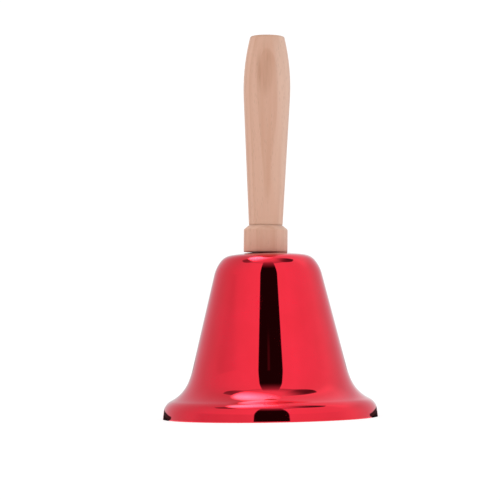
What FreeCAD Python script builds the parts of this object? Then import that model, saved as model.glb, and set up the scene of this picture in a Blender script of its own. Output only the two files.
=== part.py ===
import FreeCAD, Part
import math
import os
import Sketcher

# Hand bell: a pressed steel bell on a turned beech handle, with a ball clapper hung inside.
# Frame: millimetres, +Z up the handle, origin at the centre of the mouth, on the plane of the rim.

SIZES = [
    # the bell, outside: from the flat under the handle down to the rim
    ("shell_height", 50.06),
    ("mouth_radius", 32.7),
    ("shell_wall", 0.7),
    ("seat_radius", 4.3),
    ("dome_radius", 70.8),
    ("shoulder_radius", 4.7),
    ("upper_radius", 10.7),
    ("upper_span", 25.6),
    ("wall_lean", 13.9),
    ("flare_radius", 24.0),
    ("flare_span", 9.7),
    ("foot_radius", 11.2),
    ("foot_span", 40.1),
    ("lip_radius", 4.5),
    ("band_length", 2.3),
    ("band_lean", 6.9),
    # the handle, heights above the bottom of its collar
    ("handle_length", 65.8),
    ("collar_radius", 6.65),
    ("collar_height", 6.85),
    ("collar_round", 0.7),
    ("collar_edge", 0.25),
    ("bevel_radius", 5.25),
    ("bevel_top", 8.0),
    ("crease_radius", 4.95),
    ("crease_height", 8.15),
    ("neck_radius", 5.12),
    ("neck_height", 8.4),
    ("belly_radius", 7.11),
    ("belly_height", 50.0),
    ("belly_curve", 65.2),
    ("top_round", 0.6),
    # the screw eye and its washer
    ("eye_wire", 1.1),
    ("eye_loop", 3.6),
    ("thread_core", 0.8),
    ("thread_sink", 0.15),
    ("thread_foot", 0.75),
    ("thread_crest", 0.12),
    ("thread_pitch", 1.1),
    ("thread_turns", 9.0),
    ("screw_plain", 4.2),
    ("screw_length", 18.0),
    ("screw_point", 1.8),
    ("pilot_radius", 0.9),
    ("pilot_depth", 17.0),
    ("clearance_hole", 1.3),
    ("washer_radius", 4.0),
    ("washer_thick", 0.8),
    # the hanging ring and the clapper
    ("hang_gap", 0.08),
    ("ring_wire", 0.6),
    ("ring_loop", 3.6),
    ("rod_wire", 0.8),
    ("rod_loop", 2.4),
    ("ball_radius", 6.5),
    ("ball_height", 10.0),
    ("ball_flat", 1.7),
    ("head_radius", 1.5),
    ("head_thick", 0.8),
]

# How near two places must be to count as one, the least that a drill must take away, and how far it
# runs on past a wall: millimetres, cubic millimetres, millimetres.
NEAR = 0.01
LEAST_CUT = 1.0
RUN_ON = 1.0

doc = FreeCAD.newDocument("hand_bell")
sheet = doc.addObject("Spreadsheet::Sheet", "Sizes")
for row, (alias, number) in enumerate(SIZES, start=1):
    sheet.set(f"A{row}", alias)
    sheet.set(f"B{row}", str(number))
    sheet.setAlias(f"B{row}", alias)
doc.recompute()


class Size:
    """A length or an angle that keeps its number together with its formula in the sheet's names."""

    def __init__(self, number, text):
        self.number = number
        self.text = text

    @staticmethod
    def of(value):
        return value if isinstance(value, Size) else Size(float(value), repr(float(value)))

    def _with(self, other, sign, work):
        other = Size.of(other)
        return Size(work(self.number, other.number), f"({self.text} {sign} {other.text})")

    def __add__(self, other):
        return self._with(other, "+", lambda a, b: a + b)

    def __sub__(self, other):
        return self._with(other, "-", lambda a, b: a - b)

    def __mul__(self, other):
        return self._with(other, "*", lambda a, b: a * b)

    def __truediv__(self, other):
        return self._with(other, "/", lambda a, b: a / b)

    def __neg__(self):
        return Size.of(0) - self


def root(size):
    """The square root of a size."""
    return Size(math.sqrt(size.number), f"sqrt{size.text}")


S = {alias: Size(number, f"Sizes.{alias}") for alias, number in SIZES}
ZERO = Size.of(0)

# Heights where one piece bears on the next, from the crown down to the ball.
SEAT = S["shell_height"]
WASHER_FACE = SEAT - S["shell_wall"] - S["washer_thick"]
EYE_OUTSIDE = S["eye_loop"] + S["eye_wire"]
EYE_CENTRE = WASHER_FACE - root(EYE_OUTSIDE * EYE_OUTSIDE - S["clearance_hole"] * S["clearance_hole"])
RING_TOP = EYE_CENTRE - S["eye_loop"] + S["eye_wire"] + S["ring_wire"] + S["hang_gap"]
RING_CENTRE = RING_TOP - S["ring_loop"]
RING_FOOT = RING_CENTRE - S["ring_loop"]
ROD_TOP = RING_FOOT + S["ring_wire"] + S["rod_wire"] + S["hang_gap"]
ROD_CENTRE = ROD_TOP - S["rod_loop"]


def place(body, height):
    """Put a piece's own origin on the bell's axis, at a height bound to the sheet."""
    body.setExpression("Placement.Base.z", height.text)


def make_body(label):
    body = doc.addObject("PartDesign::Body", label)
    body.Label = label
    return body


def plane_of(body, role):
    return next(item for item in body.Origin.OriginFeatures if item.Role == role)


class Section:
    """A sketch on one of a piece's own origin planes, with each of its sizes bound to the sheet."""

    ORIGIN = (-1, 1)
    ACROSS = -1
    UP = -2

    def __init__(self, body, name, plane="XZ_Plane"):
        self.sketch = body.newObject("Sketcher::SketchObject", name)
        self.sketch.AttachmentSupport = [(plane_of(body, plane), "")]
        self.sketch.MapMode = "FlatFace"

    def add(self, curve):
        return self.sketch.addGeometry(curve, False)

    def rule(self, *words):
        return self.sketch.addConstraint(Sketcher.Constraint(*words))

    def bind(self, kind, *where, size):
        """A dimension, first drawn at the size's number and then driven by its formula."""
        drawn = math.radians(size.number) if kind == "Angle" else size.number
        index = self.rule(kind, *where, drawn)
        formula = f"({size.text}) * 1 deg" if kind == "Angle" else size.text
        self.sketch.setExpression(f"Constraints[{index}]", formula)

    def pin(self, curve, end, across, up):
        """Fix a curve's start (1), end (2) or centre (3); a coordinate of None is left free."""
        for kind, axis, size in (("DistanceX", self.UP, across), ("DistanceY", self.ACROSS, up)):
            if size is None:
                continue
            if size is ZERO:
                self.rule("PointOnObject", curve, end, axis)
            else:
                self.bind(kind, *self.ORIGIN, curve, end, size=size)

    def line(self, start, end):
        return self.add(Part.LineSegment(FreeCAD.Vector(*start, 0), FreeCAD.Vector(*end, 0)))

    def arc(self, centre, radius, first, last):
        """An anticlockwise arc between two angles in degrees."""
        circle = Part.Circle(FreeCAD.Vector(*centre, 0), FreeCAD.Vector(0, 0, 1), radius)
        return self.add(Part.ArcOfCircle(circle, math.radians(first), math.radians(last)))

    def circle(self, across, up, radius):
        index = self.add(Part.Circle(FreeCAD.Vector(across.number, up.number, 0),
                                     FreeCAD.Vector(0, 0, 1), radius.number))
        self.pin(index, 3, across, up)
        self.bind("Radius", index, size=radius)
        return index

    def polygon(self, corners):
        """A closed run of straight sides through corners given as pairs of sizes."""
        spots = [(across.number, up.number) for across, up in corners]
        sides = [self.line(spot, spots[(i + 1) % len(spots)]) for i, spot in enumerate(spots)]
        for i, side in enumerate(sides):
            self.rule("Coincident", side, 2, sides[(i + 1) % len(sides)], 1)
            self.pin(side, 1, *corners[i])
        return sides

    def check(self):
        doc.recompute()
        if self.sketch.FullyConstrained is False:
            raise SystemExit(f"{self.sketch.Name}: a size is missing")
        return self.sketch


def turn(body, section, name):
    """Spin a section a full turn about the sketch's own upright axis."""
    sketch = section.check()
    feature = body.newObject("PartDesign::Revolution", name)
    feature.Profile = (sketch, [""])
    feature.ReferenceAxis = (sketch, ["V_Axis"])
    feature.Angle = 360
    doc.recompute()
    return feature


def ring_edge(shape, radius, height):
    """The name of the round edge at a radius and a height on a turned piece."""
    for index, edge in enumerate(shape.Edges, start=1):
        curve = edge.Curve
        if isinstance(curve, Part.Circle) and math.hypot(curve.Radius - radius,
                                                         curve.Center.z - height) < NEAR:
            return f"Edge{index}"
    raise SystemExit(f"no round edge of radius {radius} at height {height}")


def round_edge(body, name, base, radius, height, size):
    """Round one turned edge of a piece."""
    fillet = body.newObject("PartDesign::Fillet", name)
    fillet.Base = (base, [ring_edge(base.Shape, radius.number, height.number)])
    fillet.setExpression("Radius", size.text)
    doc.recompute()
    return fillet


def bore(body, name, radius, depth, height=None, upwards=True):
    """Drill a round hole along the axis, from the piece's XY plane or from a height above it."""
    before = body.Tip.Shape.Volume
    section = Section(body, name + "_circle", "XY_Plane")
    if height is not None:
        section.sketch.setExpression("AttachmentOffset.Base.z", height.text)
    section.circle(ZERO, ZERO, radius)
    pocket = body.newObject("PartDesign::Pocket", name)
    pocket.Profile = (section.check(), [""])
    pocket.Type = "Length"
    pocket.Reversed = upwards
    pocket.setExpression("Length", depth.text)
    doc.recompute()
    if pocket.Shape.Volume > before - LEAST_CUT:
        raise SystemExit(f"{name} cut nothing")
    return pocket


def bell_outline(section):
    """The solid bell's section: seat, dome, shoulder, wall, flare and lip run on in tangent curves.

    Each curve is walked from the last one's end. Slope is the angle below level, in degrees, and a
    round stretch turns it from one slope to the next about a centre on its inner or outer side. The
    end of the dome and the length of the straight wall carry no size of their own: they are drawn
    close to their places, and the seat, the rim and the height settle them exactly.
    """
    dome_end = 9.2
    wall_length = 29.1
    seat, dome = S["seat_radius"].number, S["dome_radius"].number
    wall_slope = 90 - S["wall_lean"].number
    flare_end = wall_slope - S["flare_span"].number
    foot_end = flare_end - S["foot_span"].number
    band_slope = 90 - S["band_lean"].number
    dome_start = math.degrees(math.asin(seat / dome))
    shoulder_end = wall_slope - S["upper_span"].number

    spot = [seat, SEAT.number]
    curves = []

    def curve(radius, first, last):
        """One round stretch: a positive radius bends down, a negative one flares out."""
        a, b = math.radians(first), math.radians(last)
        centre = (spot[0] - radius * math.sin(a), spot[1] - radius * math.cos(a))
        spot[0] = centre[0] + radius * math.sin(b)
        spot[1] = centre[1] + radius * math.cos(b)
        ends = (90 - last, 90 - first) if radius > 0 else (270 - first, 270 - last)
        curves.append((section.arc(centre, abs(radius), *ends), 2 if radius > 0 else 1))

    def straight(length, slope):
        start = tuple(spot)
        spot[0] += length * math.cos(math.radians(slope))
        spot[1] -= length * math.sin(math.radians(slope))
        curves.append((section.line(start, tuple(spot)), 1))

    curve(dome, dome_start, dome_end)
    curve(S["shoulder_radius"].number, dome_end, shoulder_end)
    curve(S["upper_radius"].number, shoulder_end, wall_slope)
    straight(wall_length, wall_slope)
    curve(-S["flare_radius"].number, wall_slope, flare_end)
    curve(-S["foot_radius"].number, flare_end, foot_end)
    curve(S["lip_radius"].number, foot_end, band_slope)
    straight(S["band_length"].number, band_slope)
    dome_arc, shoulder, upper, wall, flare, foot, lip, band = (index for index, _ in curves)

    top = section.line((0, SEAT.number), (seat, SEAT.number))
    rim = section.line(tuple(spot), (0, 0))
    axis = section.line((0, 0), (0, SEAT.number))
    for (one, near), (two, far) in zip(curves, curves[1:]):
        section.rule("Tangent", one, 3 - near, two, far)
    section.rule("Coincident", top, 2, dome_arc, 2)
    section.rule("Coincident", band, 2, rim, 1)
    section.rule("Coincident", rim, 2, axis, 1)
    section.rule("Coincident", axis, 2, top, 1)
    section.rule("Coincident", axis, 1, *section.ORIGIN)
    section.rule("Vertical", axis)
    section.rule("Horizontal", top)
    section.rule("Horizontal", rim)
    section.rule("PointOnObject", dome_arc, 3, section.UP)
    section.bind("DistanceY", axis, 1, axis, 2, size=SEAT)
    section.bind("DistanceX", top, 1, top, 2, size=S["seat_radius"])
    section.bind("DistanceX", rim, 2, rim, 1, size=S["mouth_radius"])
    for arc, radius in ((dome_arc, "dome_radius"), (shoulder, "shoulder_radius"),
                        (upper, "upper_radius"), (flare, "flare_radius"),
                        (foot, "foot_radius"), (lip, "lip_radius")):
        section.bind("Radius", arc, size=S[radius])
    for arc, span in ((upper, "upper_span"), (flare, "flare_span"), (foot, "foot_span")):
        section.bind("Angle", arc, size=S[span])
    section.bind("Angle", axis, 1, wall, 2, size=S["wall_lean"])
    section.bind("Angle", axis, 1, band, 2, size=S["band_lean"])
    section.bind("Distance", band, size=S["band_length"])


def make_shell():
    """The bell: one steel cup of even wall, open at the mouth, with a flat seat and a screw hole."""
    body = make_body("bell_shell")
    section = Section(body, "bell_section")
    bell_outline(section)
    solid = turn(body, section, name="bell_solid")
    mouth = next(f"Face{i}" for i, face in enumerate(solid.Shape.Faces, start=1)
                 if abs(face.BoundBox.ZMax) < NEAR)
    hollow = body.newObject("PartDesign::Thickness", "pressed_wall")
    hollow.Base = (solid, [mouth])
    hollow.Reversed = True
    hollow.Join = "Intersection"
    hollow.setExpression("Value", S["shell_wall"].text)
    doc.recompute()
    bore(body, "screw_hole", S["clearance_hole"], S["shell_wall"] + RUN_ON, height=SEAT, upwards=False)
    return body


def make_handle():
    """The handle: beech turned with a collar, a cut crease, a long taper and a full belly."""
    body = make_body("handle")
    place(body, SEAT)
    section = Section(body, "handle_section")
    corners = [
        (ZERO, ZERO),
        (S["collar_radius"], ZERO),
        (S["collar_radius"], S["collar_height"]),
        (S["bevel_radius"], S["bevel_top"]),
        (S["crease_radius"], S["crease_height"]),
        (S["neck_radius"], S["neck_height"]),
    ]
    spots = [(across.number, up.number) for across, up in corners]
    sides = [section.line(a, b) for a, b in zip(spots, spots[1:])]
    reach, belly_height = S["belly_curve"].number, S["belly_height"].number
    centre = (S["belly_radius"].number - reach, belly_height)
    neck = spots[-1]
    towards = math.atan2(neck[1] - centre[1], neck[0] - centre[0])
    open_angle = math.acos(reach / math.dist(neck, centre))
    low = math.degrees(towards + open_angle)
    high = math.degrees(math.asin((S["handle_length"].number - belly_height) / reach))
    join = (centre[0] + reach * math.cos(math.radians(low)),
            centre[1] + reach * math.sin(math.radians(low)))
    top_radius = centre[0] + reach * math.cos(math.radians(high))
    taper = section.line(neck, join)
    belly = section.arc(centre, reach, low, high)
    top = section.line((top_radius, S["handle_length"].number), (0, S["handle_length"].number))
    axis = section.line((0, S["handle_length"].number), (0, 0))
    for one, two in zip(sides + [top, axis], sides[1:] + [taper, axis, sides[0]]):
        section.rule("Coincident", one, 2, two, 1)
    section.rule("Tangent", taper, 2, belly, 1)
    section.rule("Coincident", belly, 2, top, 1)
    for side, corner in zip(sides + [taper], corners):
        section.pin(side, 1, *corner)
    section.rule("Horizontal", top)
    section.pin(axis, 1, ZERO, S["handle_length"])
    section.pin(belly, 3, S["belly_radius"] - S["belly_curve"], S["belly_height"])
    section.bind("Radius", belly, size=S["belly_curve"])
    wood = turn(body, section, name="turned_wood")

    top_size = Size.of(top_radius)
    wood = round_edge(body, "top_edge", wood, top_size, S["handle_length"], S["top_round"])
    wood = round_edge(body, "collar_shoulder", wood, S["collar_radius"], S["collar_height"],
                      S["collar_round"])
    round_edge(body, "collar_foot", wood, S["collar_radius"], ZERO, S["collar_edge"])
    bore(body, "pilot_hole", S["pilot_radius"], S["pilot_depth"])
    return body


def make_loop(body, name, wire, loop):
    """A closed wire loop in the piece's XZ plane, centred on its origin."""
    section = Section(body, name + "_wire", "XY_Plane")
    section.circle(loop, ZERO, wire)
    return turn(body, section, name=name)


def make_screw_eye():
    """The screw eye: a wire loop that runs up into a plain shank and a pointed wood thread."""
    body = make_body("screw_eye")
    place(body, EYE_CENTRE)
    make_loop(body, "eye", S["eye_wire"], S["eye_loop"])
    start = S["eye_loop"]
    plain = start + S["screw_plain"]
    core_start = plain + S["eye_wire"] - S["thread_core"]
    tip = start + S["screw_length"]
    shank = Section(body, "shank_section")
    shank.polygon([(ZERO, start), (S["eye_wire"], start), (S["eye_wire"], plain),
                   (S["thread_core"], core_start), (S["thread_core"], tip - S["screw_point"]),
                   (ZERO, tip)])
    turn(body, shank, name="shank")

    ridge = Section(body, "thread_ridge")
    sunk = S["thread_core"] - S["thread_sink"]
    slope = (S["thread_foot"] - S["thread_crest"]) / 2
    ridge.polygon([(sunk, core_start), (S["eye_wire"], core_start + slope),
                   (S["eye_wire"], core_start + slope + S["thread_crest"]),
                   (sunk, core_start + S["thread_foot"])])
    sketch = ridge.check()
    thread = body.newObject("PartDesign::AdditiveHelix", "thread")
    thread.Profile = (sketch, [""])
    thread.ReferenceAxis = (sketch, ["V_Axis"])
    thread.Mode = "pitch-height-angle"
    thread.setExpression("Pitch", S["thread_pitch"].text)
    thread.setExpression("Height", (S["thread_pitch"] * S["thread_turns"]).text)
    doc.recompute()
    return body


def make_washer():
    """The washer that spreads the screw's pull over the inside of the crown."""
    body = make_body("crown_washer")
    place(body, WASHER_FACE)
    section = Section(body, "washer_section")
    section.polygon([(S["clearance_hole"], ZERO), (S["washer_radius"], ZERO),
                     (S["washer_radius"], S["washer_thick"]),
                     (S["clearance_hole"], S["washer_thick"])])
    turn(body, section, name="washer")
    return body


def make_ring():
    """The hanging ring, linked through the screw eye and across it."""
    body = make_body("hanger_ring")
    make_loop(body, "ring", S["ring_wire"], S["ring_loop"])
    body.Placement = FreeCAD.Placement(FreeCAD.Vector(0, 0, 0), FreeCAD.Rotation(90, 0, 0))
    place(body, RING_CENTRE)
    return body


def make_rod():
    """The clapper's wire: a closed eye at the top and a flattened head under the ball."""
    body = make_body("clapper_rod")
    place(body, ROD_CENTRE)
    make_loop(body, "rod_eye", S["rod_wire"], S["rod_loop"])
    ball = S["ball_height"] - ROD_CENTRE
    seat = ball - root(S["ball_radius"] * S["ball_radius"] - S["ball_flat"] * S["ball_flat"])
    foot = seat - S["head_thick"]
    section = Section(body, "wire_section")
    section.polygon([(ZERO, foot), (S["head_radius"], foot), (S["head_radius"], seat),
                     (S["rod_wire"], seat), (S["rod_wire"], -S["rod_loop"]),
                     (ZERO, -S["rod_loop"])])
    turn(body, section, name="wire")
    return body


def make_ball():
    """The clapper's ball: steel, drilled through, with a small flat at each end of the hole."""
    body = make_body("clapper_ball")
    place(body, S["ball_height"])
    flat = S["ball_flat"]
    half = root(S["ball_radius"] * S["ball_radius"] - flat * flat)
    section = Section(body, "ball_section")
    lean = math.degrees(math.atan2(half.number, flat.number))
    side = section.arc((0, 0), S["ball_radius"].number, -lean, lean)
    top = section.line((flat.number, half.number), (S["rod_wire"].number, half.number))
    hole = section.line((S["rod_wire"].number, half.number), (S["rod_wire"].number, -half.number))
    foot = section.line((S["rod_wire"].number, -half.number), (flat.number, -half.number))
    for (one, end), (two, start) in (((side, 2), (top, 1)), ((top, 2), (hole, 1)),
                                     ((hole, 2), (foot, 1)), ((foot, 2), (side, 1))):
        section.rule("Coincident", one, end, two, start)
    section.pin(side, 3, ZERO, ZERO)
    section.bind("Radius", side, size=S["ball_radius"])
    section.pin(side, 1, flat, None)
    section.pin(side, 2, flat, None)
    section.pin(hole, 1, S["rod_wire"], None)
    for rule, line in (("Horizontal", top), ("Horizontal", foot), ("Vertical", hole)):
        section.rule(rule, line)
    turn(body, section, name="ball")
    return body


def write_parts(bodies):
    """Check every object and piece, then write one STEP file for each piece."""
    doc.recompute()
    for item in doc.Objects:
        if "Invalid" in item.State or "Error" in item.State:
            raise SystemExit(f"{item.Name} failed: {item.State}")
    for body in bodies:
        shape = body.Shape
        if shape.isNull() or not shape.isValid() or len(shape.Solids) != 1:
            raise SystemExit(f"{body.Label} is not one sound solid")
    os.makedirs("parts", exist_ok=True)
    for body in bodies:
        body.Shape.exportStep(f"parts/{body.Label}.step")
        box = body.Shape.BoundBox
        print(f"{body.Label:14s} volume {body.Shape.Volume:9.2f}  x {box.XMin:7.2f} {box.XMax:7.2f}"
              f"  z {box.ZMin:7.2f} {box.ZMax:7.2f}")


write_parts([make_handle(), make_shell(), make_washer(), make_screw_eye(), make_ring(), make_rod(),
             make_ball()])
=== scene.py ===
# %% [markdown]
# A hand bell, made from its frame.
#
# The bell is a small pressed steel cup, plated and lacquered red, screwed to a turned beech handle,
# with a ball on a wire swinging inside. The frame is the engineer's model: where each piece is, how
# big it is and how it turns. This file keeps all of that and gives each piece its real surface.
# One cell makes one thing, and each prints what it made.

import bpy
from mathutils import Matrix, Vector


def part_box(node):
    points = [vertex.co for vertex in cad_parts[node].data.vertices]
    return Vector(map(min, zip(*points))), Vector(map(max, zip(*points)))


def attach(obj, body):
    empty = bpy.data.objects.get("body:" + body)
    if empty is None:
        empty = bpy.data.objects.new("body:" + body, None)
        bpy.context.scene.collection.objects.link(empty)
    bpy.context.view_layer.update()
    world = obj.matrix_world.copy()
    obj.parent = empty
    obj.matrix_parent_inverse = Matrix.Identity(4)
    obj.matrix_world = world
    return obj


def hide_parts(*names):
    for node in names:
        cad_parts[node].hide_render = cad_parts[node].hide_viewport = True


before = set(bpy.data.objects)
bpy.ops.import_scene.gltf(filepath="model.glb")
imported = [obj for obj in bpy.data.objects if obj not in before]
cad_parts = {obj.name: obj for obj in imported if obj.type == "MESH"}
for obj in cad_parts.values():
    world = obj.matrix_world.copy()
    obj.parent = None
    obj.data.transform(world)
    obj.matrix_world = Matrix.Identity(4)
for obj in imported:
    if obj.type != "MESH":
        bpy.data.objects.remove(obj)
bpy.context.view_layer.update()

# %% The tools used below
import math

import bpy
import numpy as np
from mathutils import Euler, Vector

MM = 0.001
TURN = 2 * np.pi

# %% [markdown]
# Where things are.
#
# The rim, the wall, the seat of the handle, the washer, the eye, the ring and the ball are read from
# the boxes of the frame's own nodes, so a piece made here fits the piece it stands for. What no box
# shows is given where it is used: the outlines of the bell and the handle, the rod's wire, and the
# bends, rounds and holes. All lengths are in metres, in the frame's axes: Z runs up the handle and
# the rim stands on Z = 0.

# %% Read the places from the frame
shell_low, shell_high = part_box("bell_shell")
handle_low, handle_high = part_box("handle")
washer_low, washer_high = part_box("crown_washer")
eye_low, eye_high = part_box("screw_eye")
ring_low, ring_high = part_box("hanger_ring")
rod_low, rod_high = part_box("clapper_rod")
ball_low, ball_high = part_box("clapper_ball")

MOUTH_RADIUS = shell_high.x
SEAT_HEIGHT = shell_high.z
WALL = SEAT_HEIGHT - washer_high.z
HANDLE_LENGTH = handle_high.z - handle_low.z
print(f"mouth {2 * MOUTH_RADIUS / MM:.1f} mm, shell {SEAT_HEIGHT / MM:.2f} mm high, wall {WALL / MM:.2f} mm,"
      f" handle {HANDLE_LENGTH / MM:.1f} mm")

# %% [markdown]
# Surfaces as grids.
#
# Nearly every piece here is round, so it is a grid of two numbers: one runs along an outline, the
# other once round the axis or round a wire. The points of the whole grid are worked out at once and
# handed to the mesh. Drawing the same shapes with a screw modifier would be quicker to type, but a
# formula also lets the surface carry a thread, a dent or a measure of how worn it is.

# %% Grid helper
def grid_mesh(name, points, loop_rows=False, poles=()):
    """A mesh on a grid of points, rows by columns by 3, whose columns close round on themselves.

    Each cell of the grid is one four-sided face. With loop_rows the last row joins the first. A pole
    is an extra point: the first closes the first row with a fan of triangles, the second the last.
    """
    rows, columns = points.shape[:2]
    index = np.arange(rows * columns).reshape(rows, columns)
    following = np.roll(index, -1, axis=1)
    upper, upper_next = index, following
    lower, lower_next = np.roll(index, -1, axis=0), np.roll(following, -1, axis=0)
    kept = rows if loop_rows else rows - 1
    quads = np.stack([upper, upper_next, lower_next, lower], axis=-1)[:kept].reshape(-1, 4)
    vertices = [points.reshape(-1, 3)]
    faces = quads.tolist()
    for order, pole in enumerate(poles):
        tip = rows * columns + order
        vertices.append(np.reshape(pole, (1, 3)))
        edge, edge_next = (index[0], following[0]) if order == 0 else (following[-1], index[-1])
        faces += np.stack([np.full(columns, tip), edge_next, edge], axis=-1).tolist()
    mesh = bpy.data.meshes.new(name)
    mesh.from_pydata(np.concatenate(vertices), [], faces)
    mesh.polygons.foreach_set("use_smooth", np.ones(len(faces), bool))
    mesh.update()
    piece = bpy.data.objects.new(name, mesh)
    bpy.context.scene.collection.objects.link(piece)
    return piece


def report(piece):
    """Print a piece's triangles, its size and the volume it encloses, which is positive if it faces out.

    The volume is the sum, over the triangles, of a sixth of the box spanned by their three corners.
    """
    mesh = piece.data
    mesh.calc_loop_triangles()
    corners = np.zeros(len(mesh.loop_triangles) * 3, np.int32)
    mesh.loop_triangles.foreach_get("vertices", corners)
    spots = np.zeros(len(mesh.vertices) * 3)
    mesh.vertices.foreach_get("co", spots)
    spots = spots.reshape(-1, 3)
    a, b, c = spots[corners.reshape(-1, 3)].transpose(1, 0, 2)
    volume = np.einsum("ij,ij->i", a, np.cross(b, c)).sum() / 6
    size = np.ptp(spots, axis=0) / MM
    print(f"{piece.name}: {len(a)} triangles, {size[0]:.1f} x {size[1]:.1f} x {size[2]:.1f} mm,"
          f" {volume / MM ** 3:.0f} mm3")
    return piece


def along_line(line):
    """Distance along a line at each of its points."""
    return np.concatenate([[0], np.cumsum(np.linalg.norm(np.diff(line, axis=0), axis=1))])


def paint_points(piece, name, values):
    """Store one number per grid point, which a material can read by its name; poles get the last one."""
    store = piece.data.attributes.new(name, "FLOAT", "POINT")
    stored = np.full(len(piece.data.vertices), np.ravel(values)[-1], np.float32)
    stored[:np.size(values)] = np.ravel(values)
    store.data.foreach_set("value", stored)

# %% [markdown]
# Outlines as walks.
#
# A turned or pressed outline is a chain of straight runs and round bends that flow into each other.
# It is easiest to say as a walk: at each step, which way it heads and how tightly it turns. The
# heading is kept as a slope, the angle below level, so 0 heads straight out and 90 straight down.

# %% Outline helper
STEPS_PER_RADIAN = 18


def walk(start, stretches, step=0.4 * MM):
    """Points (radius, height) and slopes along a chain of stretches, each (radius, first, last, length).

    A bend of radius R from slope a to slope b moves out by R (sin b - sin a) and down by
    R (cos a - cos b); its length is not read, so it is 0. A straight run has a radius of 0, and moves
    out by its length times cos a and down by its length times sin a.
    """
    slopes, outs, downs = [], [np.zeros(1)], [np.zeros(1)]
    for radius, first, last, length in stretches:
        bend = abs(math.radians(last - first) * radius)
        longest = min(step, abs(radius) / STEPS_PER_RADIAN) if radius else step
        count = math.ceil((bend if radius else length) / longest)
        angles = np.radians(np.linspace(first, last, count + 1))
        a, b = angles[:-1], angles[1:]
        outs.append(radius * (np.sin(b) - np.sin(a)) + length / count * np.cos(a))
        downs.append(radius * (np.cos(a) - np.cos(b)) + length / count * np.sin(a))
        slopes.append(a)
    slopes.append(b[-1:])
    outline = np.stack([start[0] + np.cumsum(np.concatenate(outs)),
                        start[1] - np.cumsum(np.concatenate(downs))], axis=-1)
    return outline, np.concatenate(slopes)


def spin(outline, columns):
    """Carry an outline of (radius, height) once round the Z axis: x = r cos t, y = r sin t."""
    turn = np.arange(columns) * TURN / columns
    radius, height = outline[:, :1], outline[:, 1:]
    return np.stack([radius * np.cos(turn), radius * np.sin(turn),
                     np.broadcast_to(height, (len(outline), columns))], axis=-1)


# %% [markdown]
# The bell.
#
# A press pushes a flat disc of sheet steel into a die, so the bell is one even wall that follows a
# single outline: a shallow dome, a tight shoulder, a straight leaning wall, a flare, and a rolled-out
# lip with a cut edge, which the die leaves a little barrelled. Its gloss is a mirror, and a mirror
# shows every fault of a faceted or badly bent surface, so the outline is exact arcs and the grid is
# fine. Two of its stretches are not chosen: how far the dome runs and how long the wall is follow
# from the height and the mouth.

# %% The bell's outline
SEAT_RADIUS = 4.3 * MM
DOME, SHOULDER, UPPER = 70.8 * MM, 4.7 * MM, 10.7 * MM
FLARE, FOOT, LIP = 24.0 * MM, 11.2 * MM, 4.5 * MM
WALL_SLOPE, LIP_END, RIM_SLOPE = 90 - 13.9, 90 - 10.4, 90 - 2.0
SHOULDER_END = WALL_SLOPE - 25.6
FLARE_END = WALL_SLOPE - 9.7
FOOT_END = FLARE_END - 40.1
BAND = 2.3 * MM
BARREL = BAND / math.radians(RIM_SLOPE - LIP_END)


def bell_stretches(dome_end, wall_length):
    """The bell's stretches from the edge of the seat to the rim; a negative radius bends outwards."""
    dome_start = math.degrees(math.asin(SEAT_RADIUS / DOME))
    return [(DOME, dome_start, dome_end, 0), (SHOULDER, dome_end, SHOULDER_END, 0),
            (UPPER, SHOULDER_END, WALL_SLOPE, 0), (0, WALL_SLOPE, WALL_SLOPE, wall_length),
            (-FLARE, WALL_SLOPE, FLARE_END, 0), (-FOOT, FLARE_END, FOOT_END, 0),
            (LIP, FOOT_END, LIP_END, 0), (BARREL, LIP_END, RIM_SLOPE, 0)]


def close_outline(tries=6):
    """Find the dome's end and the wall's length that bring the walk to the rim, by Newton's method."""
    guess = np.array([9.0, 29.0 * MM])
    nudge = np.array([0.01, 0.01 * MM])
    goal = np.array([MOUTH_RADIUS, 0.0])
    for _ in range(tries):
        miss = walk((SEAT_RADIUS, SEAT_HEIGHT), bell_stretches(*guess))[0][-1] - goal
        change = [walk((SEAT_RADIUS, SEAT_HEIGHT), bell_stretches(*(guess + move)))[0][-1] - goal - miss
                  for move in np.diag(nudge)]
        guess = guess - np.linalg.solve(np.array(change).T, miss) * nudge
    return guess


dome_end, wall_length = close_outline()
outside, slope = walk((SEAT_RADIUS, SEAT_HEIGHT), bell_stretches(dome_end, wall_length))
print(f"the dome ends at a slope of {dome_end:.2f} degrees and the wall is {wall_length / MM:.2f} mm long")

# %% [markdown]
# From outline to shell.
#
# The inside is the same outline moved in by the wall's thickness, square to the surface. A cut edge
# is never a knife edge, so the rim gets a tiny round on each side. The closed outline is then spun,
# and each point remembers whether it is inside, because the finish there is another one.

# %% The bell's shell
RIM_ROUND = 0.14 * MM
HOLE_RADIUS = 1.3 * MM
SHELL_COLUMNS = 300
SEAT_STEPS = 8
ROUND_POINTS = 5


def quarter(centre, radius, first, last, count=ROUND_POINTS):
    """Points on a small round between two angles in degrees, measured from straight out."""
    angles = np.radians(np.linspace(first, last, count))
    return np.stack([centre[0] + radius * np.cos(angles), centre[1] + radius * np.sin(angles)], axis=-1)


def radius_at(outline, height):
    """The outline's radius at a height, read between its points from the rim up."""
    return np.interp(height, outline[::-1, 1], outline[::-1, 0])


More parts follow.
